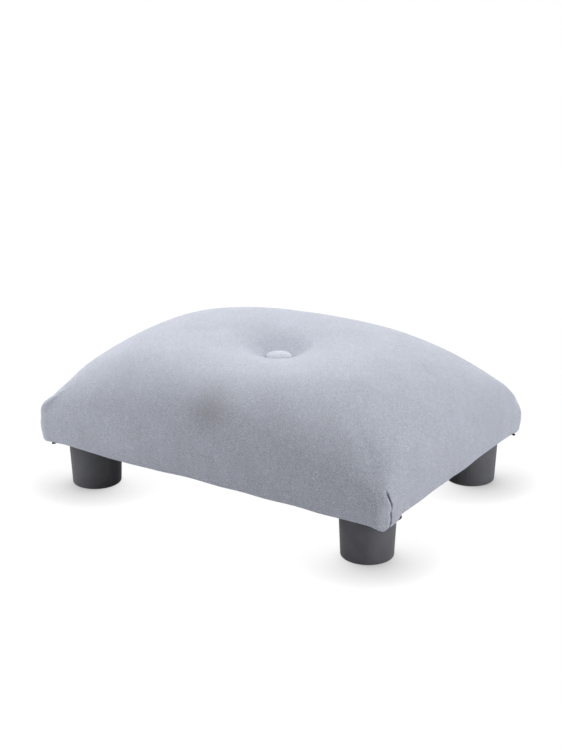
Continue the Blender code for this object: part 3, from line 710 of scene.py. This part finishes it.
# Within this distance of the button the cloth has neither pleats nor hem
top_reach = 0.1
dip = np.zeros_like(rise)
# How far each point lies in the painted shade of a crease, which darkens the velvet there; the shade is
# full once a crease is three millimetres deep
painted_fold_shade = np.zeros_like(rise)
for corner, (line, lip, depth, lap) in corner_folds.items():
    away = away_from(along_hem, corner)
    line_heights, line_places = np.array(line).T
    crease = away - np.interp(heights, line_heights, line_places)
    outwards = 1 if line_places[1] > 0 else -1
    crease *= outwards
    crease_top = line_heights[-1]
    strength = 1 - fade(heights, crease_top - crease_ends_before, crease_top + crease_ends_after)
    strength = np.where(from_button < top_reach, 0, strength)
    groove = hump((crease / groove_width) ** 2, 1)
    rise += strength * lip * hump(crease + lip_place, lip_width)
    rise -= strength * depth * groove
    painted_fold_shade += strength * groove * min(1, depth / fully_shaded_groove)
    tangent = np.stack([-cover_outward[:, :, 1], cover_outward[:, :, 0], np.zeros_like(away)], axis=2)
    slide += tangent * (strength * lap * groove * outwards)[:, :, None]
for corner, drops in enumerate(hem_drops):
    for shift in (-drop_blur, 0, drop_blur):
        dip += np.interp(away_from(along_hem, corner) + shift, *np.array(drops).T) / 3
# The hem hangs a little below the flap, in shallow waves
hem_drop = 0.0030
hem_height = 0.018
flap_rows = (3.4, 7.5)
long_wave, short_wave = 0.0004, 0.0003
hem_share = 1 - fade(heights, flap_level, flap_level + hem_height)
inner_flap = fade(np.arange(cover_rows), *flap_rows)[:, None]
waves = long_wave * np.sin(along_hem / 0.021 + 0.8) + short_wave * np.sin(along_hem / 0.0097)
slide[:, :, 2] -= (hem_drop + waves + dip) * hem_share * inner_flap * (from_button > top_reach)
# Small uneven puckers run out from under the button
pucker_rise = 0.00015
pucker_place, pucker_reach, pucker_start = 0.021, 0.010, 0.0145
round_rim = hump(from_button - pucker_place, pucker_reach) * (from_button > pucker_start)
puckers = np.cos(5 * round_button + 0.7) + 0.7 * np.cos(8 * round_button - 1.1)
puckers += 0.5 * np.cos(13 * round_button + 2.0)
rise += pucker_rise * puckers * round_rim
# The cloth in front of the button stands up a little against it
front_lip, front_lip_place, front_lip_width = 0.0005, 0.024, 0.009
in_front = fade(np.cos(round_button + front_turn), 0.1, 0.9)
rise += front_lip * in_front * hump(from_button - front_lip_place, front_lip_width)
rise[:3] = 0
rise[-3:] = 0
cover_face = cover_rings + cover_outward * rise[:, :, None] + slide
# The lining side follows the face but fills none of its folds
filled_columns = 6
soft_rise = rise.copy()
for shift in range(-filled_columns, filled_columns + 1):
    soft_rise = np.minimum(soft_rise, np.roll(rise, shift, axis=1))
lining = cover_rings + cover_outward * (soft_rise - cover_thick)[:, :, None]
lining[:, :, 2] += slide[:, :, 2]
lining[-1, :, :2] = cover_face[-1, :, :2]
cover = closed_layer("velvet_cover", cover_face, lining, painted_fold_shade)
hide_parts("cover")


def shade_by(finish, colour, pattern, at_low, at_high, low=0.3, high=0.7):
    """The same colour times one number where a pattern is low and another where it is high."""
    tree = finish.node_tree
    tone = wired(tree, "MapRange", pattern, low, high, at_low, at_high)
    shaded = wired(tree, "VectorMath", colour, operation="SCALE")
    tree.links.new(tone.outputs["Result"], shaded.inputs["Scale"])
    return shaded.outputs["Vector"]


def near_point(finish, point, reach):
    """Nought at a point of the piece, rising softly to one at a distance."""
    tree = finish.node_tree
    place = tree.nodes.new("ShaderNodeTexCoord")
    away = wired(tree, "VectorMath", place.outputs["Object"], point, operation="DISTANCE")
    share = wired(tree, "MapRange", away.outputs["Value"], 0, reach)
    share.interpolation_type = "SMOOTHSTEP"
    return share.outputs["Result"]


def facing(finish, axis, turned_from, turned_to, least, most):
    """A number that runs between two values as the surface turns towards an axis."""
    tree = finish.node_tree
    surface = tree.nodes.new("ShaderNodeNewGeometry")
    parts = wired(tree, "SeparateXYZ", surface.outputs["Normal"])
    share = wired(tree, "MapRange", parts.outputs[axis], turned_from, turned_to, least, most)
    return share.outputs["Result"]


def between(finish, share, least, most):
    """A number that runs between two values as a share goes from nought to one."""
    return wired(finish.node_tree, "MapRange", share, 0, 1, least, most).outputs["Result"]


def stronger(finish, pattern, amount):
    """The same pattern, its highs and lows pushed apart by an amount."""
    tree = finish.node_tree
    middle = wired(tree, "Math", pattern, 0.5, operation="SUBTRACT")
    return wired(tree, "Math", middle.outputs[0], amount, 0.5, operation="MULTIPLY_ADD").outputs[0]


def velvet_finish(name, dark, light):
    """Short-piled velvet between two near tones, its pile stronger where it faces the front."""
    finish = new_finish(name, roughness=0.9, shine=0.2)
    shader = finish.node_tree.nodes["Principled BSDF"]
    shader.inputs["Sheen Weight"].default_value = 0.25
    shader.inputs["Sheen Roughness"].default_value = 0.5
    # The pile shows most near the front right corner and on the long front side
    far_share = near_point(finish, point=(half_length, -half_depth, 0.08), reach=0.36)
    fine_pile = grain(finish, spot=0.0006, detail=1)
    strong_pile = stronger(finish, fine_pile, between(finish, far_share, least=1.45, most=1.10))
    turned_share = facing(finish, "Y", turned_from=-0.9, turned_to=-0.2, least=2.9, most=2.6)
    front_pile = stronger(finish, strong_pile, turned_share)
    worn_clouds = grain(finish, spot=0.030, detail=5)
    nap = two_tones(finish, worn_clouds, dark, light, low=0.3, high=0.7)
    nap = shade_by(finish, nap, front_pile, at_low=0.60, at_high=1.40, low=-0.25, high=1.25)
    brushed = grain(finish, spot=0.0040, detail=2, stretch=(1, 1, 0.12))
    nap = shade_by(finish, nap, brushed, at_low=0.970, at_high=1.030)
    # Painted shade: the colour is darkened to about a third of itself along the corner creases
    fold_shade = finish.node_tree.nodes.new("ShaderNodeAttribute")
    fold_shade.attribute_name = "painted_fold_shade"
    nap = shade_by(finish, nap, fold_shade.outputs["Fac"], at_low=1, at_high=0.35, low=0, high=1)
    # A palm-sized place on the long front side is darker and warmer
    dark_patch_share = near_point(finish, point=(0.008, -0.141, 0.1225), reach=0.036)
    dark_patch_tone = two_tones(finish, dark_patch_share, (0.835, 0.81, 0.785), (1, 1, 1), low=0, high=1)
    dark_patched = wired(finish.node_tree, "VectorMath", nap, dark_patch_tone, operation="MULTIPLY")
    paint(finish, dark_patched.outputs["Vector"])
    emboss(finish, grain(finish, spot=0.0045, detail=3), depth=0.0002)
    emboss(finish, grain(finish, spot=0.0008, detail=2), depth=0.0006)
    return finish


velvet = velvet_finish("velvet", (0.465, 0.489, 0.560), (0.500, 0.526, 0.607))
cover.data.materials.append(velvet)


# The button. A pressed metal shell covered in the same velvet, closed by a back plate with a
# wire eye, and pulled down into the pad so that the cloth in front of it hides its edge.
def turned(profile, steps, x=0.0, y=0.0):
    """A form turned about the vertical from (radius, height) points, at a place."""
    bm = bmesh.new()
    verts = [bm.verts.new((radius, 0, height)) for radius, height in profile]
    edges = [bm.edges.new(pair) for pair in zip(verts, verts[1:])]
    bmesh.ops.spin(
        bm,
        geom=verts + edges,
        cent=(0, 0, 0),
        axis=(0, 0, 1),
        angle=2 * math.pi,
        steps=steps,
        use_merge=True,
    )
    bmesh.ops.remove_doubles(bm, verts=bm.verts, dist=1e-6)
    bmesh.ops.recalc_face_normals(bm, faces=bm.faces)
    bmesh.ops.translate(bm, verts=bm.verts, vec=(x, y, 0))
    return bm


def arc(radius, height, bend, start, end, steps=6):
    """Points on an arc round a centre at (radius, height), from and to angles in degrees."""
    turns = np.radians(np.linspace(start, end, steps + 1))
    return [(radius + bend * math.cos(t), height + bend * math.sin(t)) for t in turns]


button_radius = 0.014
button_low = 0.13386
button_top = 0.14086
cloth_thick = 0.0007
side_top = button_low + 0.0012
edge_bend = 0.0007
tuck_radius = button_radius - 0.0037


def dome_profile(thickness):
    """The button's dome from its side to its top, so far inside the cloth's own face."""
    radius = button_radius - thickness
    high = button_top - thickness
    turns = np.radians(np.linspace(0, 90, 15))[:-1]
    dome = [(radius * math.cos(t), side_top + (high - side_top) * math.sin(t)) for t in turns]
    return dome + [(0, high)]


edge_roll = arc(button_radius - edge_bend, button_low + edge_bend, edge_bend, 270, 360)
tuck_top = button_low + cloth_thick
tuck = [(button_radius - cloth_thick, tuck_top), (tuck_radius, tuck_top), (tuck_radius, button_low)]
button_profile = dome_profile(cloth_thick)[::-1] + tuck + edge_roll + dome_profile(0)
button_mesh = turned(button_profile, 96, 0, button_y)
# The cloth is gathered in eighteen uneven pleats round the button's edge
pleats = 18
pleat_depth = 0.00022
gather_low, gather_spread = 0.001, 0.0025
for vert in button_mesh.verts:
    reach = math.hypot(vert.co.x, vert.co.y - button_y)
    turn = math.atan2(vert.co.y - button_y, vert.co.x)
    gather = max(0.0, 1 - abs(vert.co.z - button_low - gather_low) / gather_spread)
    gather *= reach > button_radius - cloth_thick + 0.0002
    drawn = pleat_depth * gather * (1 + math.cos(pleats * turn + 0.6 * math.sin(3 * turn)))
    shrink = 1 - drawn / max(reach, 0.001)
    vert.co.x *= shrink
    vert.co.y = button_y + (vert.co.y - button_y) * shrink
button_cloth = finish_piece("button_velvet", button_mesh)
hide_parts("button_cloth")
# Painted light: the button's velvet is the cover's, painted about a fifth lighter
velvet_painted_lighter = velvet_finish("velvet_painted_lighter", (0.565, 0.590, 0.662), (0.605, 0.631, 0.709))
button_cloth.data.materials.append(velvet_painted_lighter)

pressed_zinc = new_finish("pressed_zinc", roughness=0.42, metallic=1.0)
zinc_spangle = grain(pressed_zinc, spot=0.004, detail=2)
paint(pressed_zinc, two_tones(pressed_zinc, zinc_spangle, (0.46, 0.46, 0.45), (0.62, 0.62, 0.60)))
emboss(pressed_zinc, grain(pressed_zinc, spot=0.0005), depth=0.00004)
cap_low = tuck_top + fit_gap
cap_in = cloth_thick + 0.0002
cap_wall = 0.0006
cap_outer = dome_profile(cap_in)
cap_inner = dome_profile(cap_in + cap_wall)
cap_foot = [(cap_inner[0][0], cap_low), (cap_outer[0][0], cap_low)]
shell_mesh = turned(cap_inner[::-1] + cap_foot + cap_outer, 96, 0, button_y)
button_shell = finish_piece("button_shell", shell_mesh)
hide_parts("button_cap")
button_shell.data.materials.append(pressed_zinc)
dress_node("button_back", pressed_zinc)
for number in range(1, 5):
    dress_node(f"tee_nut_{number}", pressed_zinc)

drawn_steel = new_finish("drawn_steel", roughness=0.32, metallic=1.0)
steel_streaks = grain(drawn_steel, spot=0.0006, detail=3, stretch=(1, 1, 0.15))
paint(drawn_steel, two_tones(drawn_steel, steel_streaks, (0.50, 0.50, 0.52), (0.66, 0.66, 0.68)))
emboss(drawn_steel, steel_streaks, depth=0.00003)
dress_node("button_eye", drawn_steel)
for number in range(1, 5):
    dress_node(f"leg_stud_{number}", drawn_steel)
    dress_node(f"twine_staple_{number:02d}", drawn_steel)

# The twine. Waxed polyester, once through the button's eye, down through pad and board, and
# out along the board's underside to its staples.
waxed_twine = new_finish("waxed_twine", roughness=0.55)
twine_strands = grain(waxed_twine, spot=0.0005, detail=2, stretch=(1, 1, 0.3))
paint(waxed_twine, two_tones(waxed_twine, twine_strands, (0.60, 0.57, 0.50), (0.82, 0.80, 0.74)))
emboss(waxed_twine, twine_strands, depth=0.0001)
dress_node("tufting_twine", waxed_twine)

# The dust cover. Thin black non-woven cloth that closes the underside, pulled flat between its
# staples and under the legs. Its cut edge shows here and there below the hem.
sheet_thick = 0.0004
sheet_top = 0.0507
# Where its edge shows below the hem: edge (0 a short one, 1 a long one), side, place along it,
# spread, how far out and how far down
sheet_peeps = (
    (1, -1, -0.1850, 0.0035, 0.0070, 0.0024),
    (0, 1, -0.1130, 0.0088, 0.0085, 0.0043),
    (0, 1, 0.1312, 0.0034, 0.0095, 0.0040),
)
sheet_mesh = bmesh.new()
sheet_across = 112
sheet_deep = 84
cloth = bmesh.ops.create_grid(sheet_mesh, x_segments=sheet_across, y_segments=sheet_deep, size=1)
sheet_in = 0.0105
sheet_corner = 0.006
edge_band = 0.12
sheet_half = np.array((half_length - sheet_in, half_depth - sheet_in))
leg_x = 0.161
leg_y = 0.107
staple_in = 0.014
staple_step_long = 0.055
staple_step_short = 0.066
staple_places = []
for side in (-1, 1):
    for step in range(-3, 4):
        staple_places.append((step * staple_step_long, side * (half_depth - staple_in), 0.0))
    for step in range(-1, 2):
        place = (side * (half_length - staple_in), step * staple_step_short, math.pi / 2)
        staple_places.append(place)
# Between its staples and the legs, which hold it up, the cloth sags a little and unevenly
sag_depth = 0.0011
sag_lumps = 0.045
held_by_leg = (0.030, 0.020)
held_by_staple = 0.009
for vert in cloth["verts"]:
    u, v = vert.co.x, vert.co.y
    x = u * sheet_half[0]
    y = v * sheet_half[1]
    round_x = max(0.0, abs(x) - sheet_half[0] + sheet_corner)
    round_y = max(0.0, abs(y) - sheet_half[1] + sheet_corner)
    over = math.hypot(round_x, round_y)
    if over > sheet_corner:
        x -= math.copysign(round_x * (1 - sheet_corner / over), x)
        y -= math.copysign(round_y * (1 - sheet_corner / over), y)
    edge = max(abs(u), abs(v))
    peep = 0.0
    places = [x, y]
    for across, side, place, spread, out, down in sheet_peeps:
        near_edge = max(0.0, (u, v)[across] * side - 1 + edge_band) / edge_band
        near = near_edge * math.exp(-((((x, y)[1 - across] - place) / spread) ** 4))
        places[across] += side * out * near
        peep += down * near * near_edge**2
    x, y = places
    held = 1.0
    for side_x in (-1, 1):
        for side_y in (-1, 1):
            away = math.hypot(x - side_x * leg_x, y - side_y * leg_y)
            held *= 1 - math.exp(-((max(0.0, away - held_by_leg[0]) / held_by_leg[1]) ** 2))
    for staple_x, staple_y, _ in staple_places:
        away = math.hypot(x - staple_x, y - staple_y)
        held *= 1 - math.exp(-((away / held_by_staple) ** 2))
    sag = sag_depth * held * (0.55 + 0.45 * noise.noise(Vector((x, y, 0.2)) / sag_lumps))
    sag *= 1 - 0.7 * max(0.0, edge - 1 + edge_band) / edge_band
    vert.co = (x, y, sheet_top - sag - peep)
flat_sheet = finish_piece("dust_sheet", sheet_mesh)
solid = flat_sheet.modifiers.new("thickness", "SOLIDIFY")
solid.thickness = sheet_thick
solid.offset = -1
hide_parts("dust_cover")
black_cloth = new_finish("black_nonwoven", roughness=0.92, shine=0.05)
pressed_dots = grain(black_cloth, spot=0.0016, detail=6)
near_black = two_tones(black_cloth, pressed_dots, (0.010, 0.010, 0.011), (0.024, 0.024, 0.026))
paint(black_cloth, near_black)
emboss(black_cloth, pressed_dots, depth=0.0002)
flat_sheet.data.materials.append(black_cloth)


# The staples. Bright flat wire, 9 mm across the crown, shot through the dust cover and the
# velvet's turned-in edge into the board, a finger's width from the hem.
crown_low = 0.0495
wire_wide = 0.00095


def staple_form(bm, x, y, turn):
    """One staple: a flat wire crown with rounded bends and two legs driven upwards."""
    half = 0.0045
    wire = 0.0005
    bend = 0.0007
    leg_length = 0.008
    outer = [(half, crown_low + leg_length + wire)]
    outer += arc(half - bend, crown_low + bend, bend, 0, -90, 3)
    outer += arc(-half + bend, crown_low + bend, bend, 270, 180, 3)
    outer += [(-half, crown_low + leg_length + wire)]
    inner = [(-half + wire, crown_low + leg_length + wire)]
    inner += arc(-half + bend, crown_low + bend, bend - wire, 180, 270, 3)
    inner += arc(half - bend, crown_low + bend, bend - wire, -90, 0, 3)
    inner += [(half - wire, crown_low + leg_length + wire)]
    wire_edge = [bm.verts.new((across, -wire_wide / 2, high)) for across, high in outer + inner]
    face = bm.faces.new(wire_edge)
    grown = bmesh.ops.extrude_face_region(bm, geom=[face])["geom"]
    far = [item for item in grown if isinstance(item, bmesh.types.BMVert)]
    bmesh.ops.translate(bm, verts=far, vec=(0, wire_wide, 0))
    every = list(face.verts) + far
    bmesh.ops.rotate(bm, verts=every, matrix=Matrix.Rotation(turn, 3, "Z"))
    bmesh.ops.translate(bm, verts=every, vec=(x, y, 0))


for number, (x, y, turn) in enumerate(staple_places, start=1):
    staple_mesh = bmesh.new()
    staple_form(staple_mesh, x, y, turn)
    staple = finish_piece(f"sheet_staple_{number:02d}", staple_mesh)
    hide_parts(f"dust_staple_{number:02d}")
    staple.data.materials.append(drawn_steel)


# The legs. Short tapered cups moulded in dark grey plastic with a fine matt grain, closed at the
# foot, with a boss inside that holds the stud's head and six ribs that steady it.
foot_radius = 0.025
top_radius = 0.02725
wall = 0.0025
foot_edge = 0.0014
floor_top = 0.0035
floor_bend = 0.002
boss_radius = 0.010
boss_top = 0.0495
stud_room = 0.0043
head_room = 0.0079
head_low, head_high = 0.0254, 0.0313


def wall_at(height, inset=0.0):
    """Radius of the tapered wall at a height."""
    return foot_radius + (top_radius - foot_radius) * height / leg_height - inset


# From the gate mark under the foot, out and up the wall, and down inside it to the boss
inside_low = floor_top + floor_bend
leg_profile = [(0, 0.0009), (0.0012, 0.0009), (0.0016, 0.0005), (0.0125, 0.0005), (0.0132, 0)]
leg_profile += arc(wall_at(0.0016, foot_edge), foot_edge, foot_edge, 270, 357)
leg_profile += arc(wall_at(0.049, 0.001), 0.049, 0.001, 3, 90)
leg_profile += [(wall_at(leg_height, wall), leg_height), (wall_at(inside_low, wall), inside_low)]
leg_profile += arc(wall_at(inside_low, wall + floor_bend), inside_low, floor_bend, 0, -90, 3)
leg_profile += arc(boss_radius + floor_bend, inside_low, floor_bend, 270, 180, 3)
leg_profile += [(boss_radius, boss_top - 0.001), (boss_radius - 0.001, boss_top)]
leg_profile += [(stud_room + 0.0003, boss_top), (stud_room, boss_top - 0.0003)]
leg_profile += [(stud_room, head_high), (head_room, head_high), (head_room, head_low), (0, head_low)]
rib_low = 0.0030
rib_high = 0.0460
rib_thick = 0.0018
rib_start = 0.0092
rib_sunk = 0.0012
leg_corners = ((-1, -1), (-1, 1), (1, -1), (1, 1))
leg_names = ("front_left_leg", "back_left_leg", "front_right_leg", "back_right_leg")

moulded_plastic = new_finish("moulded_plastic", roughness=0.46, shine=0.03)
plastic_clouds = grain(moulded_plastic, spot=0.012, detail=3)
dark_grey = two_tones(moulded_plastic, plastic_clouds, (0.144, 0.145, 0.156), (0.158, 0.159, 0.171))
paint(moulded_plastic, dark_grey)
emboss(moulded_plastic, grain(moulded_plastic, spot=0.0006, detail=2), depth=0.00005)
for number, ((side_x, side_y), name) in enumerate(zip(leg_corners, leg_names), start=1):
    leg_mesh = turned(leg_profile, 96, side_x * leg_x, side_y * leg_y)
    leg = finish_piece(name, leg_mesh, 35)
    ribs = bmesh.new()
    for rib in range(6):
        blade = bmesh.ops.create_cube(ribs, size=1)["verts"]
        for vert in blade:
            high = rib_high if vert.co.z > 0 else rib_low
            far = wall_at(high, rib_sunk) if vert.co.x > 0 else rib_start
            vert.co = (far, vert.co.y * rib_thick, high)
        turn = Matrix.Rotation(math.pi / 3 * rib, 3, "Z")
        bmesh.ops.rotate(ribs, verts=blade, matrix=turn)
    bmesh.ops.translate(ribs, verts=ribs.verts, vec=(side_x * leg_x, side_y * leg_y, 0))
    bmesh.ops.recalc_face_normals(ribs, faces=ribs.faces)
    rib_set = made_of("ribs", ribs)
    joining = leg.modifiers.new("ribs", "BOOLEAN")
    joining.operation = "UNION"
    joining.object = rib_set
    joined = bpy.data.meshes.new_from_object(leg.evaluated_get(bpy.context.evaluated_depsgraph_get()))
    leg.modifiers.clear()
    leg.data = joined
    bpy.data.objects.remove(rib_set)
    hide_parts(f"leg_{number}")
    leg.data.materials.clear()
    leg.data.materials.append(moulded_plastic)
